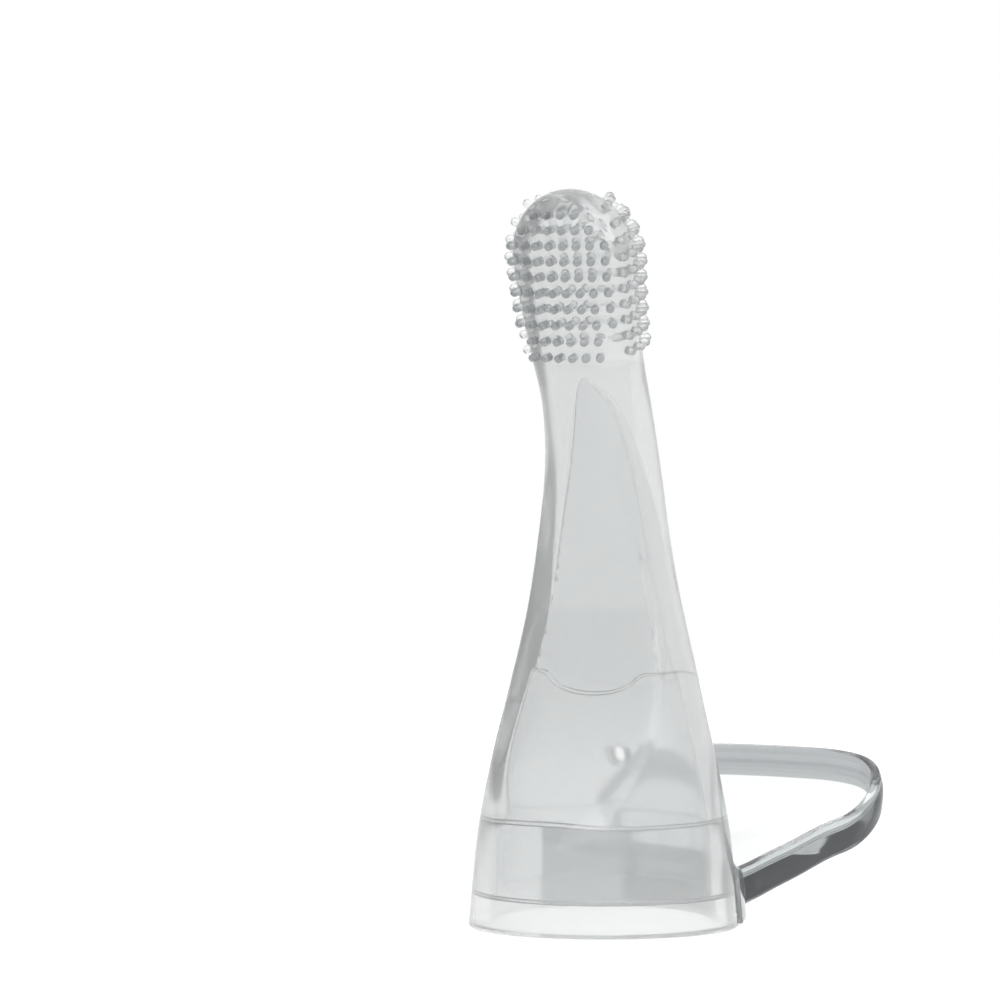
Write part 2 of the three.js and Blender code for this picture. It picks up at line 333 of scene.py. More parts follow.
@dataclass(frozen=True)
class Palette:
    """The finishes of the brush, each for one kind of surface.

    Attributes:
        sleeve: The satin body, from a fine-blasted mould.
        mouth: The brighter, smoother band round the mouth.
        head: The solid head, milkier for its thickness.
        bore: The polished inside of the finger cavity, of which the eye sees only the steps' fine lines.
        bristle: The bristles' shafts.
        saddle: The thick saddle under the tab's neck.
        tip: The front bristles' polished round tips, painted darker grey: painted shade for the dark of the
            room that they gather.
        dish: The polished dish and underside of the grip tab.
        lip: The tab's glossy lip, a light line round the dish.
        side: The tab's side wall, painted dark grey: painted shade for the long way through the tab behind
            it.
    """

    sleeve: MouldedSilicone = MouldedSilicone(
        "satin_clear_silicone", "#E3E5E5", 0.11, clear=0.72, cloud=0.03
    )
    mouth: MouldedSilicone = MouldedSilicone(
        "smooth_clear_silicone", "#F1F2F2", 0.05, clear=0.65, cloud=0.015
    )
    head: MouldedSilicone = MouldedSilicone(
        "solid_head_silicone", "#E9EBEB", 0.09, clear=0.74, cloud=0.03
    )
    # The bore's rim colour is a lighter painted edge shade.
    bore: MouldedSilicone = MouldedSilicone(
        "polished_bore_silicone", "#F8F9F9", 0.09, rim="#D5D8DA", clear=0.88, cloud=0.02
    )
    bristle: MouldedSilicone = MouldedSilicone(
        "bristle_clear_silicone", "#F2F3F3", 0.04, clear=0.9, grain_depth_mm=0.0, wave_depth_mm=0.0
    )
    saddle: MouldedSilicone = MouldedSilicone(
        "glossy_saddle_silicone", "#DCDFE0", 0.06, clear=0.72, cloud=0.01
    )
    # Painted shade: the tips' darker grey stands in for the dark room that the clear balls refract.
    tip: MouldedSilicone = MouldedSilicone(
        "painted_shade_bristle_tip_silicone", "#C2C5C7", 0.04, clear=0.9, grain_depth_mm=0.0, wave_depth_mm=0.0
    )
    dish: MouldedSilicone = MouldedSilicone(
        "polished_dish_silicone", "#EAECEC", 0.02, wave_depth_mm=0.004, grain_depth_mm=0.0,
        cloud=0.01,
    )
    lip: MouldedSilicone = MouldedSilicone(
        "glossy_lip_silicone", "#E4E7E8", 0.05, clear=0.88, wave_depth_mm=0.004,
        grain_depth_mm=0.0, cloud=0.01,
    )
    # Painted shade: the side wall's dark grey stands in for the dark that the thick tab refracts through it.
    side: MouldedSilicone = MouldedSilicone(
        "side_wall_painted_shade_silicone", "#969A9C", 0.1, clear=0.75, wave_mm=3.0, cloud=0.02
    )


# --- The form of the body ---


@dataclass
class BodyForm:
    """The outer skin of the sleeve, neck and head, as a function of height and angle.

    Each level is a circle cut by a flat facet at the front, with the corner between them rounded: the
    reach at an angle is the soft minimum of the circle's radius and the facet's distance. The circle's
    centre leans forwards up the neck, and a crown rounds the head off.

    Attributes:
        axis_y: The sleeve's axis, in millimetres.
        top: Height of the crown.
        radius: Stations of the circle's radius.
        forward: Stations of the lean towards the front.
        scoop: Stations of the facet's distance in front of the sleeve's axis.
        dome_start: Height where the crown begins.
        sharpness: Stations of the soft minimum's power: crisp at the scoop's foot, soft on the head.
        least_flat: Least distance of the facet from the section's centre.
    """

    axis_y: float
    top: float
    radius: Stations = (
        (0, 14.0), (11, 12.85), (24, 10.1), (36, 7.5), (46, 6.1), (54, 5.6), (60, 5.8), (69, 6.45),
    )
    forward: Stations = ((0, 0), (42, 0), (48, 0.3), (54, 1.5), (60, 3.8), (67, 5.7), (76, 6.9))
    scoop: Stations = (
        (7, 16.2), (11, 12.6), (18, 7.2), (24, 4.2), (31, 2.9), (37, 3.2), (46, 4.8), (57, 7.0), (67, 8.8),
        (76, 10.2),
    )
    dome_start: float = 69.0
    sharpness: Stations = ((0, 30), (14, 28), (24, 18), (50, 14), (60, 10), (76, 9))
    least_flat: float = 0.5

    def round_radius(self, height: np.ndarray) -> np.ndarray:
        """Give the radius of the round part of the section at each height.

        Args:
            height: Heights in millimetres.

        Returns:
            Radii in millimetres, falling to zero at the crown as an ellipse does.
        """
        rise = np.maximum(0, (height - self.dome_start) / (self.top - self.dome_start))
        return smooth_through(self.radius, height) * np.sqrt(np.maximum(0, 1 - rise * rise))

    def centre_y(self, height: np.ndarray) -> np.ndarray:
        """Give the Y of the section's centre at each height, in millimetres."""
        return self.axis_y - smooth_through(self.forward, height)

    def skin(self, height: np.ndarray, angle: np.ndarray, inset: np.ndarray | float = 0.0,
             shrink: np.ndarray | float = 1.0) -> np.ndarray:
        """Give points of the skin, or of a surface at an even depth inside it.

        Args:
            height: Heights in millimetres.
            angle: Angles round the axis, zero at the scooped front, in radians.
            inset: Depth under the skin, in millimetres.
            shrink: Share of the reach that is kept, for rounding a cavity's end.

        Returns:
            Points in metres, with the shape of the broadcast inputs and a last axis of three.
        """
        circle = np.maximum(self.round_radius(height) - inset, 0.001)
        lean = smooth_through(self.forward, height)
        flat = np.maximum(smooth_through(self.scoop, height) - lean - inset, self.least_flat)
        facing = np.maximum(np.cos(angle), 0) / flat
        power = smooth_through(self.sharpness, height)
        reach = (circle ** -power + facing ** power) ** (-1 / power) * shrink
        x = reach * np.sin(angle)
        y = self.axis_y - lean - reach * np.cos(angle)
        z = np.broadcast_to(height, x.shape)
        return np.stack([x, y, z], -1) * MM


@dataclass
class SleeveAndHead:
    """The finger sleeve, its cuff and mouth, and the neck and head that it runs into.

    Attributes:
        form: The outer skin.
        ring_top: Height of the mouth band.
        cuff_top: Height of the inner step above the cuff.
        mouth_bore: Bore radius of the mouth band.
        cuff_bore: Bore radius of the cuff.
        bend_start: Height where the neck begins to bend; not used.
        bend_end: Height where the bend is complete; not used.
        wall: Wall of the sleeve.
        pocket_start: Height of the step into the fingertip pocket.
        pocket_step: How much the pocket steps in.
        step_round: Rounding of the inner steps.
        step_rise: How far the step's line curves up at half_width from the middle.
        half_width: Distance from the middle at which the line has risen by step_rise.
        rise_fade: Height over which the rise fades out above and below the step.
        cavity_top: Height of the pocket's rounded end.
        cavity_end: Length over which the pocket closes.
        foot: Rounding of the foot's two edges.
        head_start: Level where the solid head's finish begins.
        around: Points round each ring.
        vent_side: X of the vent in the back wall.
        vent_level: Height of the vent.
        vent_size: Width and height of the vent.
        vent_reach: Distances behind the axis between which the vent is cut.
    """

    form: BodyForm
    ring_top: float
    cuff_top: float
    mouth_bore: float
    cuff_bore: float
    bend_start: float
    bend_end: float
    wall: float = 2.0
    pocket_start: float = 24.0
    pocket_step: float = 0.35
    step_round: float = 0.2
    step_rise: float = 1.8
    half_width: float = 7.0
    rise_fade: float = 4.5
    cavity_top: float = 57.0
    cavity_end: float = 22.0
    foot: float = 0.4
    head_start: float = 58.5
    around: int = 192
    vent_side: float = -3.6
    vent_level: float = 16.8
    vent_size: tuple[float, float] = (1.9, 1.5)
    vent_reach: tuple[float, float] = (6.0, 16.0)

    def angles(self) -> np.ndarray:
        """Give the angles of a ring's points, anticlockwise seen from above."""
        return np.linspace(0, 2 * math.pi, self.around, endpoint=False)

    def profile(self) -> tuple[np.ndarray, np.ndarray, np.ndarray]:
        """Trace the section from the pocket's end, down the inside, round the foot and up to the crown.

        The inside steps out three times: below the pocket, at the cuff and at the mouth. Each step is a
        pair of quarter circles, and each straight stretch stops a little short of the steps beside it.

        Returns:
            Heights, insets and shares of the reach, in millimetres and plain numbers.
        """
        quarter = np.linspace(0.03, 1, 24) * math.pi / 2
        turn = np.linspace(0, math.pi / 2, 5)
        bend = np.concatenate([np.cos(turn), -np.sin(turn)[1:]])
        swing = np.concatenate([0.5 * np.sin(turn), 1 - 0.5 * np.cos(turn)[1:]])
        deep = self.wall + self.pocket_step
        closing = self.cavity_top - self.cavity_end
        skin = self.form.round_radius
        foot = self.foot
        end_z = closing + self.cavity_end * np.cos(quarter)
        pocket_z = np.linspace(closing - 0.5, self.pocket_start + 0.5, 18)
        step_z = self.pocket_start + self.step_round * bend
        cavity_z = np.linspace(self.pocket_start - 0.6, self.cuff_top + 0.4, 24)
        cuff_step_z = self.cuff_top + self.step_round * bend
        cuff_z = np.linspace(self.cuff_top - 0.5, self.ring_top + 0.4, 10)
        ring_step_z = self.ring_top + self.step_round * bend
        ring_z = np.linspace(self.ring_top - 0.4, foot + 0.2, 5)
        under = foot - foot * np.sin(np.linspace(0, math.pi / 2, 6))
        cuff_in = skin(np.array(self.cuff_top)) - self.cuff_bore
        rise = self.form.top - self.form.dome_start
        skin_z = np.concatenate([
            np.linspace(foot + 0.1, self.ring_top, 6), np.linspace(self.ring_top + 0.4, 14.0, 20),
            np.linspace(14.4, self.form.dome_start, 106),
            self.form.dome_start + rise * np.sin(np.linspace(0.05, 0.998, 22) * math.pi / 2),
        ])
        height = np.concatenate([
            end_z, pocket_z, step_z, cavity_z, cuff_step_z, cuff_z, ring_step_z, ring_z,
            under, under[::-1], skin_z,
        ])
        inset = np.concatenate([
            np.full(end_z.size + pocket_z.size, deep), deep - self.pocket_step * swing,
            np.full(cavity_z.size, self.wall), self.wall - (self.wall - cuff_in) * swing,
            skin(cuff_z) - self.cuff_bore,
            skin(ring_step_z) - self.cuff_bore - (self.mouth_bore - self.cuff_bore) * swing,
            skin(ring_z) - self.mouth_bore,
            skin(under) - self.mouth_bore - foot + np.sqrt(np.maximum(foot**2 - (foot - under) ** 2, 0)),
            foot - np.sqrt(np.maximum(foot**2 - (foot - under[::-1]) ** 2, 0)), np.zeros(skin_z.size),
        ])
        share = np.concatenate([np.sin(quarter), np.ones(height.size - end_z.size)])
        return height, inset, share

    def sleeve(self, name: str) -> bpy.types.Object:
        """Make the sleeve and head in one closed surface with its finger cavity.

        Inside, a height is raised by the square of the distance from the middle, so that the pocket's
        step sweeps up towards the sides. The raise fades out above and below the step.
        """
        height, inset, share = self.profile()
        angle = self.angles()[None, :]
        level = height[:, None]
        inside = ((inset > 1.0) & (height > self.cuff_top + 0.3)).astype(float)[:, None]
        across = self.form.skin(level, angle, inset[:, None])[..., 0] / MM / self.half_width
        fade = np.exp(-(((level - self.pocket_start) / self.rise_fade) ** 2))
        raised = level + inside * self.step_rise * across * across * fade
        return closed_tube(name, self.form.skin(raised, angle, inset[:, None], share[:, None]))

    def finishes(self) -> np.ndarray:
        """Give the finish of each face: 0 sleeve, 1 mouth band, 2 head, 3 inside of the cavity.

        The rows of faces follow the profile, and the fans at its two ends come last.
        """
        height = self.profile()[0]
        level = (height[:-1] + height[1:]) / 2
        inside = np.arange(level.size) < int(np.argmin(height))
        outside = np.where(level < self.ring_top, 1, np.where(level > self.head_start, 2, 0))
        kind = np.where(inside, 3, outside)
        ends = np.repeat([3, 2], self.around)
        return np.concatenate([np.repeat(kind, self.around), ends]).astype(np.int32)

    def cut_vent(self, sleeve: bpy.types.Object) -> None:
        """Cut the small rounded vent through the back wall.

        The cutter's outline is a superellipse of the fourth power, carried straight along Y.

        Args:
            sleeve: The closed sleeve, whose mesh is changed.
        """
        turn = np.linspace(0, 2 * math.pi, 32, endpoint=False)
        reach = (np.abs(np.cos(turn)) ** 4 + np.abs(np.sin(turn)) ** 4) ** -0.25 / 2
        x = self.vent_side + self.vent_size[0] * reach * np.cos(turn)
        z = self.vent_level + self.vent_size[1] * reach * np.sin(turn)
        back = self.form.axis_y + np.array(self.vent_reach)
        rings = np.stack([np.stack([x, np.full_like(x, y), z], -1) for y in back]) * MM
        cutter = closed_tube("vent_cutter", rings[::-1])
        cut = sleeve.modifiers.new("vent", "BOOLEAN")
        cut.operation = "DIFFERENCE"
        cut.solver = "EXACT"
        cut.object = cutter
        graph = bpy.context.evaluated_depsgraph_get()
        made = bpy.data.meshes.new_from_object(sleeve.evaluated_get(graph))
        sleeve.modifiers.clear()
        old, sleeve.data = sleeve.data, made
        bpy.data.meshes.remove(old)
        bpy.data.objects.remove(cutter)
        made.name = sleeve.name

    def build(self, palette: Palette) -> list[bpy.types.Object]:
        """Make and dress the sleeve, with its own finish on the mouth, the head and the cavity.

        Args:
            palette: The finishes.

        Returns:
            The pieces.
        """
        sleeve = self.sleeve("sleeve_and_head")
        for finish in (palette.sleeve, palette.mouth, palette.head, palette.bore):
            sleeve.data.materials.append(finish.build())
        sleeve.data.polygons.foreach_set("material_index", self.finishes())
        self.cut_vent(sleeve)
        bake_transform(sleeve)
        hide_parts("mouth_ring", "cuff", "finger_sleeve", "flex_neck", "head_core")
        return [sleeve]


# --- Bristles ---


@dataclass
class BristleRows:
    """The rows of short round bristles, in front of and behind the smooth parting band.

    Rows lie square to the head's leaning axis, so their fronts hang lower than their backs.

    Attributes:
        form: The head's skin.
        lean: Drop of a row for each millimetre that it reaches forwards.
        rows: Number of rows.
        pitch: Distance between rows up the axis.
        lowest: Level of the lowest row on the head's axis.
        parting: Angle from the front to the parting band, in radians.
        radius: Bristle radius.
        length: Bristle length outside the skin.
        front_pitch: Spacing across the front.
        front_counts: Bristles in each front row, lowest first.
        crown_limit: Rise of the skin's normal above which the crown stays smooth.
        fan: Outward turn of a front bristle for each millimetre from the middle.
        sides: Sides of a bristle.
        buried: Length of a bristle inside the skin.
        back_pitch: Spacing round the back.
        band_margin: Angle by which the back rows keep off the parting band, in radians.
        end_space: Further angle left free at each end of a back row, in radians.
    """

    form: BodyForm
    lean: float = 0.27
    rows: int = 10
    pitch: float = 1.6
    lowest: float = 59.9
    parting: float = 1.08
    radius: float = 0.46
    length: float = 1.05
    front_pitch: float = 1.5
    front_counts: tuple[int, ...] = (6, 6, 8, 8, 8, 8, 8, 8, 6, 4)
    crown_limit: float = 0.82
    fan: float = 0.11
    sides: int = 8
    buried: float = 0.12
    back_pitch: float = 1.5
    band_margin: float = 0.06
    end_space: float = 0.09

    def row_skin(self, level: float, angle: np.ndarray) -> np.ndarray:
        """Give the skin points of a leaning row, in metres.

        The level at an angle is the row's level less the lean times the forward reach, found by halving
        towards it a few times.

        Args:
            level: The row's level on the head's axis, in millimetres.
            angle: Angles round the head.

        Returns:
            Points in metres.
        """
        height = np.full(angle.shape, level, float)
        for _ in range(16):
            point = self.form.skin(height, angle)
            forward = self.form.centre_y(height) - point[..., 1] / MM
            wanted = np.minimum(level - self.lean * forward, self.form.top - 0.15)
            height = (height + wanted) / 2
        return self.form.skin(height, angle)

    def row_normal(self, level: float, angle: np.ndarray) -> np.ndarray:
        """Give the outward normals of the skin along a row."""
        across = self.row_skin(level, angle + 0.02) - self.row_skin(level, angle - 0.02)
        up = self.row_skin(level + 0.1, angle) - self.row_skin(level - 0.1, angle)
        normal = np.cross(across, up)
        return normal / np.linalg.norm(normal, axis=-1, keepdims=True)

    def posts(self, name: str, feet: np.ndarray, directions: np.ndarray) -> bpy.types.Object:
        """Make a row of round-ended posts as one piece of separate closed solids.

        A post is a turned profile: a small flared foot, a straight shaft and a ball end.

        Args:
            name: Name of the piece.
            feet: Foot of each post on the skin, in metres.
            directions: Unit direction of each post.

        Returns:
            The piece.
        """
        ball = np.array([0.0, 0.35, 0.68, 0.93]) * math.pi / 2
        neck = 0.9 * self.radius
        along = np.concatenate([
            [-self.buried, 0.25], self.length - self.radius + self.radius * np.sin(ball),
        ])
        out = np.concatenate([[neck * 1.12, neck], self.radius * np.cos(ball)])
        turn = np.linspace(0, 2 * math.pi, self.sides, endpoint=False)
        side = np.cross(directions, np.array([0.0, 0.0, 1.0]))
        side /= np.linalg.norm(side, axis=-1, keepdims=True)
        other = np.cross(directions, side)
        wheel = (
            side[:, None, None, :] * np.cos(turn)[None, None, :, None]
            + other[:, None, None, :] * np.sin(turn)[None, None, :, None]
        )
        rings = (
            feet[:, None, None, :]
            + directions[:, None, None, :] * along[None, :, None, None] * MM
            + wheel * out[None, :, None, None] * MM
        )
        posts, rows, columns = rings.shape[:3]
        tips = np.stack([
            feet - directions * self.buried * MM,
            feet + directions * self.length * MM,
        ], 1)
        points = np.concatenate([rings.reshape(posts, -1, 3), tips], 1)
        each = points.shape[1]
        quads = grid_faces(rows, columns)
        foot = cap_faces(0, columns, rows * columns, True)
        top = cap_faces((rows - 1) * columns, columns, rows * columns + 1, False)
        shift = np.arange(posts)[:, None, None] * each
        faces = (quads[None] + shift).reshape(-1, 4).tolist()
        faces += (np.concatenate([foot, top])[None] + shift).reshape(-1, 3).tolist()
        made = make_object(name, points.reshape(-1, 3), faces)
        # The ball-end faces take the second slot, which on the front rows holds the painted-shade tip finish.
        ball_quads = (np.arange(quads.shape[0]) >= columns).astype(np.int32)
        ball_caps = np.concatenate([np.zeros(columns), np.ones(columns)]).astype(np.int32)
        tip = np.concatenate([np.tile(ball_quads, posts), np.tile(ball_caps, posts)])
        made.data.polygons.foreach_set("material_index", tip)
        return made

    def front(self, row: int) -> bpy.types.Object:
        """Make one front row, evenly spaced across and fanned a little outwards."""
        level = self.lowest + self.pitch * row
        count = self.front_counts[row]
        across = self.front_pitch * (np.arange(count) - (count - 1) / 2)
        sweep = np.linspace(-1.5, 1.5, 401)
        reach = self.row_skin(level, sweep)[:, 0] / MM
        rising = np.maximum.accumulate(reach)
        angle = np.interp(across, rising + np.arange(rising.size) * 1e-9, sweep)
        direction = np.stack([self.fan * across, np.full(count, -1.0), np.full(count, -self.lean)], -1)
        direction /= np.linalg.norm(direction, axis=-1, keepdims=True)
        return self.posts(f"front_bristles_{row + 1:02d}", self.row_skin(level, angle), direction)

    def back(self, row: int) -> bpy.types.Object:
        """Make one back row, evenly spaced round from one parting band to the other."""
        level = self.lowest + self.pitch * row
        start = self.parting + self.band_margin
        span = 2 * (math.pi - start)
        count = round(span * float(self.form.round_radius(np.array(level))) / self.back_pitch)
        share = (np.arange(count) + 0.5) / count
        angle = start + self.end_space + (span - 2 * self.end_space) * share
        normal = self.row_normal(level, angle)
        kept = normal[:, 2] < self.crown_limit
        return self.posts(f"back_bristles_{row + 1:02d}", self.row_skin(level, angle)[kept], normal[kept])

    def build(self, palette: Palette) -> list[bpy.types.Object]:
        """Make and dress all rows.

        Args:
            palette: The finishes.

        Returns:
            The pieces, front and back of each row in turn.
        """
        shaft, tip = palette.bristle.build(), palette.tip.build()
        pieces = []
        for row in range(self.rows):
            for piece, node in (
                (self.front(row), f"front_bristle_row_{row + 1:02d}"),
                (self.back(row), f"back_bristle_row_{row + 1:02d}"),
            ):
                indices = np.empty(len(piece.data.polygons), np.int32)
                piece.data.polygons.foreach_get("material_index", indices)
                # Front rows take the darker painted-shade tip finish on their balls; back rows stay clear.
                for finish in (shaft, tip if node.startswith("front") else shaft):
                    piece.data.materials.append(finish)
                piece.data.polygons.foreach_set("material_index", indices)
                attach(piece, "head")
                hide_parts(node)
                pieces.append(piece)
        return pieces


# --- Grip tab ---


@dataclass
class GripTab:
    """The dished grip tab and the saddle that joins it to the back of the mouth.

    The tab's plan is a spade. A profile is carried round that plan, from the dish's middle over the lip,
    down the side and back under the keel. The wall at the tip stands upright.

    Attributes:
        form: The sleeve's skin, which the saddle wraps.
        hinge_y: The hinge line, in millimetres.
        hinge_z: Its height, in millimetres.
        reach: Y of the rim's far end, in millimetres.
        slope: Rise of the rim from level, in radians.
        top: Height of the rim over the hinge, square to the rim.
        thickness: Thickness at the neck.
        thinning: Share of the thickness lost at the tip.
        lip: Width of the lip.
        dish: Depth of the dish.
        foot_z: Height of the underside where it runs into the hinge.
        spade: Stations of the plan: half width, and share of the length.
        saddle_growth: Stations of how far the saddle stands off the skin, by degrees from the front.
        saddle_top: Stations of the saddle's height at the sleeve.
        saddle_edge: Stations of the saddle's height at its outer edge.
        saddle_span: Angles from the front at which the saddle begins and ends, in degrees.
        saddle_fillet: Rounding of the saddle's outer edges.
        skin_gap: How far the saddle's inner face stands off the skin.
        round_points: Points round the plan.
        blend_run: How far behind and above the hinge its bend is complete; not used.
    """

    form: BodyForm
    hinge_y: float
    hinge_z: float
    reach: float
    slope: float = math.radians(31)
    top: float = 2.06
    thickness: float = 4.6
    thinning: float = 0.5
    lip: float = 1.15
    dish: float = 1.7
    foot_z: float = 0.3
    spade: Stations = (
        (6.4, -0.07), (6.5, 0.045), (7.8, 0.115), (9.2, 0.19), (10.8, 0.27), (13.0, 0.395), (15.1, 0.485),
        (16.0, 0.58), (16.1, 0.695), (15.4, 0.8), (14.3, 0.875), (12.6, 0.935), (10.2, 0.972),
        (6.7, 0.993), (0, 1),
    )
    saddle_growth: Stations = (
        (88, 0.0), (105, 0.15), (121, 0.5), (132, 1.1), (145, 2.3), (153, 3.3), (158, 3.7), (166, 3.4),
        (180, 3.3),
    )
    saddle_top: Stations = ((88, 5.0), (105, 5.6), (121, 6.5), (140, 6.4), (180, 6.0))
    saddle_edge: Stations = ((88, 4.8), (105, 5.3), (121, 6.0), (140, 5.2), (157, 4.4), (180, 4.3))
    saddle_span: tuple[float, float] = (118.0, 242.0)
    saddle_fillet: float = 0.25
    skin_gap: float = 0.012
    round_points: int = 240
    blend_run: tuple[float, float] = (2.6, 1.6)

    def length(self) -> float:
        """Give the tab's length from the hinge along its slope, in millimetres."""
        return (self.reach - self.hinge_y + self.top * math.sin(self.slope)) / math.cos(self.slope)

    def plan(self) -> np.ndarray:
        """Trace the spade plan in the tab's own plane, anticlockwise, evenly spaced along its edge.

        Returns:
            Points across and along, in millimetres.
        """
        knots = np.array(self.spade) * np.array([1.0, self.length()])
        run = np.append(0, np.cumsum(np.hypot(*np.diff(knots, axis=0).T)))
        at = np.linspace(0, run[-1], self.round_points // 2)
        across = smooth_through(list(zip(run, knots[:, 0])), at)
        along = smooth_through(list(zip(run, knots[:, 1])), at)
        right = np.stack([across, along], -1)
        left = np.stack([-across, along], -1)[::-1]
        return np.concatenate([right, left[1:]])

    def rings(self) -> np.ndarray:
        """Carry the profile round the plan.

        A level below the rim is drawn back along the slope by its depth times the slope's tangent, as the
        square of the share of the length, which stands the tip's wall upright. What would pass the hinge
        line or the foot is held there.

        Returns:
            Points, rings by columns by three, in metres, from the dish's middle to the keel's middle.
        """
        plan = self.plan()
        ahead = np.roll(plan, -1, 0) - np.roll(plan, 1, 0)
        ahead /= np.linalg.norm(ahead, axis=1, keepdims=True)
        inward = np.stack([-ahead[:, 1], ahead[:, 0]], -1)
        middle = np.array([0.0, 0.48 * self.length()])
        quarter = np.linspace(0, math.pi / 2, 7)
        crease, lip_round, keel_in, keel_up = 0.45, 0.42, 1.0, 0.9
        rows: list[tuple[np.ndarray, np.ndarray]] = []
        floor = self.top - self.dish
        along = np.clip(plan[:, 1] / self.length(), 0, 1)
        foot = floor - (self.thickness - self.dish) * (1 - self.thinning * along)

        def add(depth: np.ndarray | float, level: np.ndarray | float, share: float = 0.0) -> None:
            """Add a ring at a depth inside the plan, a level, and a share of the way to the middle."""
            place = plan + inward * np.broadcast_to(depth, along.shape)[:, None]
            place = place + (middle - place) * share
            rows.append((place, np.broadcast_to(level, along.shape)))

        for share in (0.97, 0.85, 0.7, 0.5, 0.3, 0.12):
            add(self.lip + crease + 0.3, floor - 0.2 * share, share)
        for turn in quarter:
            add(self.lip + crease * (1 - math.sin(turn)), floor + crease * (1 - math.cos(turn)))
        for turn in quarter:
            add(self.lip - lip_round * (1 - math.cos(turn)), self.top - lip_round * (1 - math.sin(turn)))
        for turn in quarter:
            add(lip_round * (1 - math.sin(turn)), self.top - lip_round * (1 - math.cos(turn)))
        for share in np.linspace(0.15, 1.0, 6):
            bulge = -0.18 * math.sin(math.pi * share)
            add(bulge, self.top - lip_round + (foot + keel_up - self.top + lip_round) * share)
        for turn in quarter[1:]:
            add(keel_in * (1 - math.cos(turn)), foot + keel_up * (1 - math.sin(turn)))
        for share in (0.12, 0.3, 0.5, 0.7, 0.85, 0.97):
            add(keel_in + 0.2, foot - 0.02, share)
        across, out, up = (np.stack(part) for part in zip(*((p[:, 0], p[:, 1], n) for p, n in rows)))
        drawn = np.clip(out / self.length(), 0, 1) ** 2
        out = out - (self.top - up) * math.tan(self.slope) * drawn
        y = self.hinge_y + out * math.cos(self.slope) - up * math.sin(self.slope)
        z = self.hinge_z + out * math.sin(self.slope) + up * math.cos(self.slope)
        y = np.maximum(y, self.hinge_y + 0.04)
        z = np.maximum(z, self.foot_z)
        return np.stack([across, y, z], -1) * MM

    def finishes(self, rows: int) -> np.ndarray:
        """Give the finish of each face of the closed tab: 0 dish and underside, 1 lip, 2 side wall.

        The rings run from the keel's middle to the dish's middle, and the two end fans come last.

        Args:
            rows: Number of rings.

        Returns:
            A finish index for each face.
        """
        # Finish 2, on the side wall, is the painted-shade grey.
        keel, side, lip = 6, 12, 20
        row = np.arange(rows - 1)
        above = np.where(row < keel + side + lip, 1, 0)
        kind = np.where(row < keel, 0, np.where(row < keel + side, 2, above))
        each = len(self.plan())
        return np.concatenate([np.repeat(kind, each), np.zeros(2 * each)]).astype(np.int32)

    def saddle(self, name: str) -> bpy.types.Object:
        """Make the saddle that wraps the back of the mouth and runs out to the hinge.

        Its section stands on the skin, and its growth, its height at the sleeve and its height at the
        edge change with the angle from the front. The hinge side is cut off flat.

        Args:
            name: Name of the piece.

        Returns:
            The closed saddle.
        """
        degrees = np.linspace(*self.saddle_span, 93)
        fold = 180 - np.abs(degrees - 180)
        growth = smooth_through(self.saddle_growth, fold)[:, None]
        high = smooth_through(self.saddle_top, fold)[:, None]
        edge = smooth_through(self.saddle_edge, fold)[:, None]
        turn = np.linspace(0, math.pi / 2, 6)
        fillet = self.saddle_fillet
        down = np.linspace(1, 0, 8)[None, :]
        wall_z = self.foot_z + (high - self.foot_z) * down
        wall_r = self.form.round_radius(wall_z) + self.skin_gap
        foot_z = self.foot_z + fillet * (1 - np.cos(turn))[None, :] + 0 * high
        side_z = self.foot_z + fillet + (edge - self.foot_z - 2 * fillet) * np.linspace(0.1, 0.9, 6)[None, :]
        top_z = edge - fillet + fillet * np.sin(turn)[None, :]

        def outer(z: np.ndarray) -> np.ndarray:
            """Give the outer face's radius at each height."""
            return self.form.round_radius(z) + 0.03 + growth

        foot_r = outer(foot_z) - np.minimum(fillet, 0.4 * growth) * (1 - np.sin(turn))[None, :]
        top_r = outer(top_z) - np.minimum(fillet, 0.4 * growth) * (1 - np.cos(turn))[None, :]
        radius = np.concatenate([wall_r, foot_r, outer(side_z), top_r], 1)
        height = np.concatenate([wall_z, foot_z, side_z, top_z], 1)
        angle = np.radians(degrees)[:, None]
        x = radius * np.sin(angle)
        y = np.minimum(self.form.axis_y - radius * np.cos(angle), self.hinge_y + 0.02)
        return closed_tube(name, np.stack([x, y, height], -1)[::-1] * MM)

    def build(self, palette: Palette) -> list[bpy.types.Object]:
        """Make and dress the tab and its saddle.

        Args:
            palette: The finishes.

        Returns:
            The pieces.
        """
        saddle = self.saddle("tab_saddle")
        saddle.data.materials.append(palette.saddle.build())
        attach(saddle, "sleeve")
        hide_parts("tab_root")
        rings = self.rings()[::-1]
        tab = closed_tube("grip_tab", rings)
        for finish in (palette.dish, palette.lip, palette.side):
            tab.data.materials.append(finish.build())
        tab.data.polygons.foreach_set("material_index", self.finishes(rings.shape[0]))
        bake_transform(tab)
        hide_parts("hinge_web", "thumb_tab", "tab_rim")
        return [saddle, tab]


# --- Studio ---


@dataclass(frozen=True)
class SoftBox:
    """A square soft box that faces the brush.

    Attributes:
        name: Name of the lamp.
        azimuth: Angle to the right of the front, in degrees.
        elevation: Angle above level, in degrees.
        size: Side of the square, in metres.
        power: Power in watts.
    """

    name: str
    azimuth: float
    elevation: float
    size: float
    power: float


def direction_to(azimuth: float, elevation: float) -> Vector:
    """Give the unit vector towards an azimuth right of the front and an elevation, both in degrees."""
    a, e = math.radians(azimuth), math.radians(elevation)
    return Vector((math.sin(a) * math.cos(e), -math.cos(a) * math.cos(e), math.sin(e)))


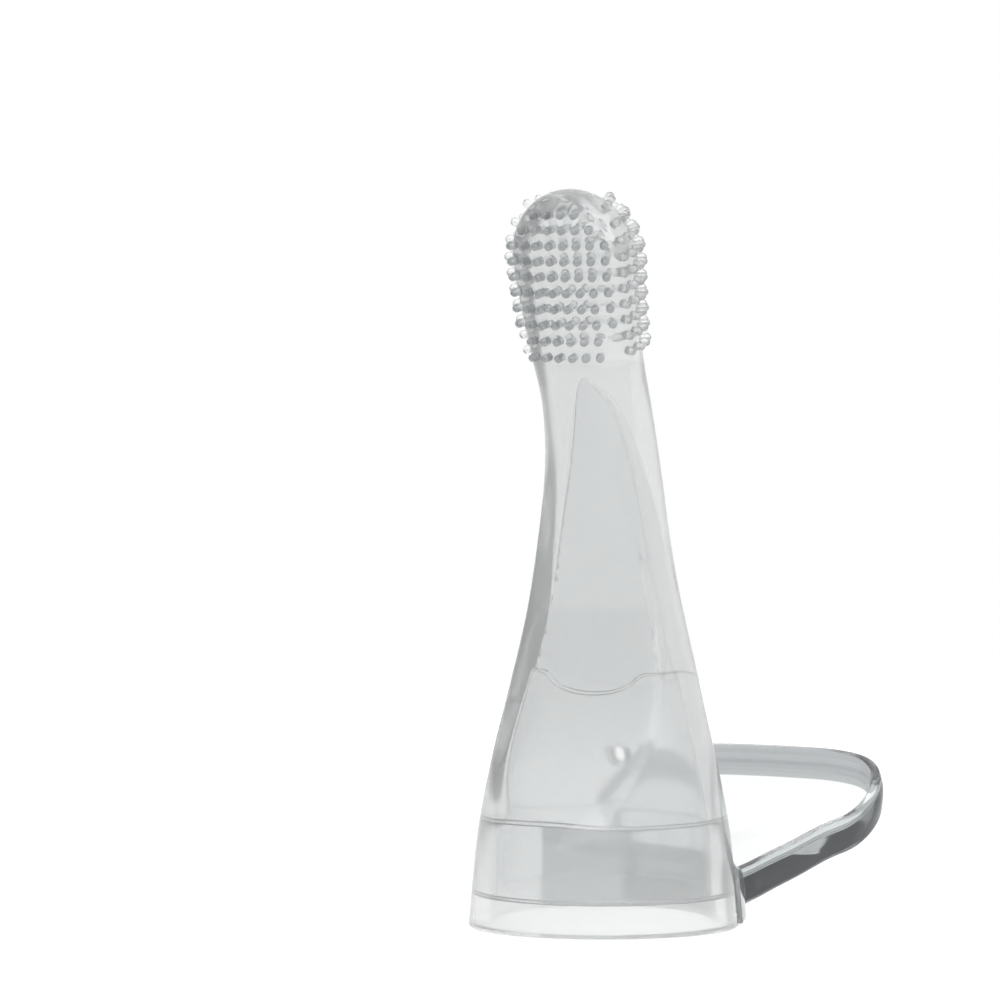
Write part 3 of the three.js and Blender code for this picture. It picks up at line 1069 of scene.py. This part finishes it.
@dataclass
class Studio:
    """A pale floor, soft light and the camera.

    Attributes:
        axis_y: Y of the sleeve's axis, in metres.
        aim_height: Height of the point that the camera looks at, in metres.
        aim_left: Distance of that point to the left of the axis, as the camera sees it, in metres.
        azimuth: Camera's angle to the right of the front, in degrees.
        elevation: Camera's angle above level, in degrees.
        distance: Camera's distance in metres.
        frame_width: Width of the view at the aim, in metres.
        sweep_edge: Cosine, from straight behind the brush, at which the white sweep has darkened to the room.
        sweep_blend: Width of that darkening, as a cosine.
        room_levels: Brightness of the room at the far left and the far right.
        floor_glow: Light that the floor gives of its own, as an opal light table does.
        lamp_distance: Distance of the soft boxes from the aim, in metres.
        boxes: The soft boxes.
    """

    axis_y: float
    aim_height: float = 0.0440
    aim_left: float = 0.0107
    azimuth: float = 31.0
    elevation: float = 2.5
    distance: float = 0.7
    frame_width: float = 0.103
    sweep_edge: float = 0.35
    sweep_blend: float = 0.25
    room_levels: tuple[float, float] = (0.35, 0.9)
    floor_glow: float = 0.8
    lamp_distance: float = 0.9
    boxes: tuple[SoftBox, ...] = (
        SoftBox("top_softbox", 0.0, 88.0, 1.2, 3.5),
        SoftBox("front_softbox", 10.0, 35.0, 0.8, 3.0),
    )

    def aim(self) -> Vector:
        """Give the point that the camera looks at, in metres."""
        a = math.radians(self.azimuth)
        right = Vector((math.cos(a), math.sin(a), 0))
        return Vector((0, self.axis_y, self.aim_height)) - right * self.aim_left

    def camera(self) -> None:
        """Stand the camera off the aim and point it there."""
        back = direction_to(self.azimuth, self.elevation)
        data = bpy.data.cameras.new("camera")
        data.sensor_width = 36.0
        data.lens = data.sensor_width * self.distance / self.frame_width
        data.clip_start = 0.01
        data.clip_end = 20.0
        camera = bpy.data.objects.new("camera", data)
        bpy.context.scene.collection.objects.link(camera)
        camera.location = self.aim() + back * self.distance
        camera.rotation_mode = "QUATERNION"
        camera.rotation_quaternion = (-back).to_track_quat("-Z", "Y")
        bpy.context.scene.camera = camera

    def floor(self) -> None:
        """Lay a matt, pale, evenly lit floor under the brush, which ends where the white sweep rises."""
        turn = np.linspace(0, 2 * math.pi, 96, endpoint=False)
        reach = np.array([0.05, 0.12, 0.22, 0.35])
        rings = np.stack([
            reach[:, None] * np.cos(turn), reach[:, None] * np.sin(turn), np.zeros((reach.size, turn.size)),
        ], -1)
        points = np.concatenate([rings.reshape(-1, 3), np.zeros((1, 3))])
        faces = grid_faces(reach.size, turn.size)[:, ::-1].tolist()
        faces += cap_faces(0, turn.size, reach.size * turn.size, False).tolist()
        made = make_object("floor", points, faces)
        material = bpy.data.materials.new("opal_light_table")
        material.use_nodes = True
        shader = material.node_tree.nodes["Principled BSDF"]
        shader.inputs["Base Color"].default_value = linear("#9C9C9C")
        shader.inputs["Roughness"].default_value = 0.9
        shader.inputs["Emission Color"].default_value = linear("#FFFFFF")
        shader.inputs["Emission Strength"].default_value = self.floor_glow
        made.data.materials.append(material)

    def light(self) -> None:
        """Set the surround, white behind the brush and darker in the room, and the soft boxes."""
        world = bpy.data.worlds.new("studio_surround")
        world.use_nodes = True
        tree = world.node_tree
        tree.nodes.clear()
        a = math.radians(self.azimuth)
        direction = add_node(tree, "ShaderNodeTexCoord").outputs["Generated"]
        ahead = add_node(
            tree, "ShaderNodeVectorMath", settings={"operation": "DOT_PRODUCT"},
            values={1: (-math.sin(a), math.cos(a), 0.0)}, links={0: direction},
        )
        white = add_node(
            tree, "ShaderNodeMapRange", settings={"interpolation_type": "SMOOTHSTEP"},
            values={"From Min": self.sweep_edge, "From Max": self.sweep_edge + self.sweep_blend,
                    "To Min": 0.0, "To Max": 1.0},
            links={"Value": ahead.outputs["Value"]},
        )
        across = add_node(
            tree, "ShaderNodeVectorMath", settings={"operation": "DOT_PRODUCT"},
            values={1: (math.cos(a), math.sin(a), 0.3)}, links={0: direction},
        )
        room = add_node(
            tree, "ShaderNodeMapRange", settings={"interpolation_type": "SMOOTHSTEP"},
            values={"From Min": -0.6, "From Max": 0.9,
                    "To Min": self.room_levels[0], "To Max": self.room_levels[1]},
            links={"Value": across.outputs["Value"]},
        )
        level = add_node(
            tree, "ShaderNodeMath", settings={"operation": "MAXIMUM"},
            links={0: white.outputs["Result"], 1: room.outputs["Result"]},
        )
        back = add_node(
            tree, "ShaderNodeBackground", values={"Color": (1.0, 1.0, 1.0, 1.0)},
            links={"Strength": level.outputs["Value"]},
        )
        add_node(tree, "ShaderNodeOutputWorld", links={"Surface": back.outputs["Background"]})
        bpy.context.scene.world = world
        bpy.context.scene.view_settings.view_transform = "Standard"
        for box in self.boxes:
            way = direction_to(box.azimuth, box.elevation)
            data = bpy.data.lights.new(box.name, "AREA")
            data.size = box.size
            data.energy = box.power
            lamp = bpy.data.objects.new(box.name, data)
            bpy.context.scene.collection.objects.link(lamp)
            lamp.location = self.aim() + way * self.lamp_distance
            lamp.rotation_mode = "QUATERNION"
            lamp.rotation_quaternion = way.to_track_quat("Z", "Y")

    def build(self) -> None:
        """Make the floor, the lights and the camera."""
        self.floor()
        self.light()
        self.camera()


def box_mm(node: str) -> tuple[np.ndarray, np.ndarray]:
    """Give the lowest and highest corners of a model node, in millimetres."""
    low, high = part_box(node)
    return np.array(low) / MM, np.array(high) / MM


def main() -> None:
    logging.basicConfig(level=logging.INFO, format="%(name)s: %(message)s")
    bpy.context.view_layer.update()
    palette = Palette()
    ring_low, ring_high = box_mm("mouth_ring")
    sleeve_low, sleeve_high = box_mm("finger_sleeve")
    neck_high = box_mm("flex_neck")[1]
    rim_high = box_mm("tab_rim")[1]
    hinge = next(joint for joint in frame["joints"] if joint["name"] == "tab_hinge")
    axis_y = float(ring_low[1] + ring_high[1]) / 2
    form = BodyForm(axis_y=axis_y, top=CROWN_TOP)
    body = SleeveAndHead(
        form=form,
        ring_top=float(ring_high[2]),
        cuff_top=float(sleeve_low[2]),
        mouth_bore=MOUTH_BORE,
        cuff_bore=CUFF_BORE,
        bend_start=float(sleeve_high[2]),
        bend_end=float(neck_high[2]),
    )
    tab = GripTab(
        form=form,
        hinge_y=hinge["pos_m"][1] / MM,
        hinge_z=hinge["pos_m"][2] / MM,
        reach=float(rim_high[1]),
    )
    made = body.build(palette)
    made += BristleRows(form=form).build(palette)
    made += tab.build(palette)
    for piece in made:
        log.info("%s: %d faces", piece.name, len(piece.data.polygons))
    Studio(axis_y=axis_y * MM).build()


if __name__ == "__main__":
    main()
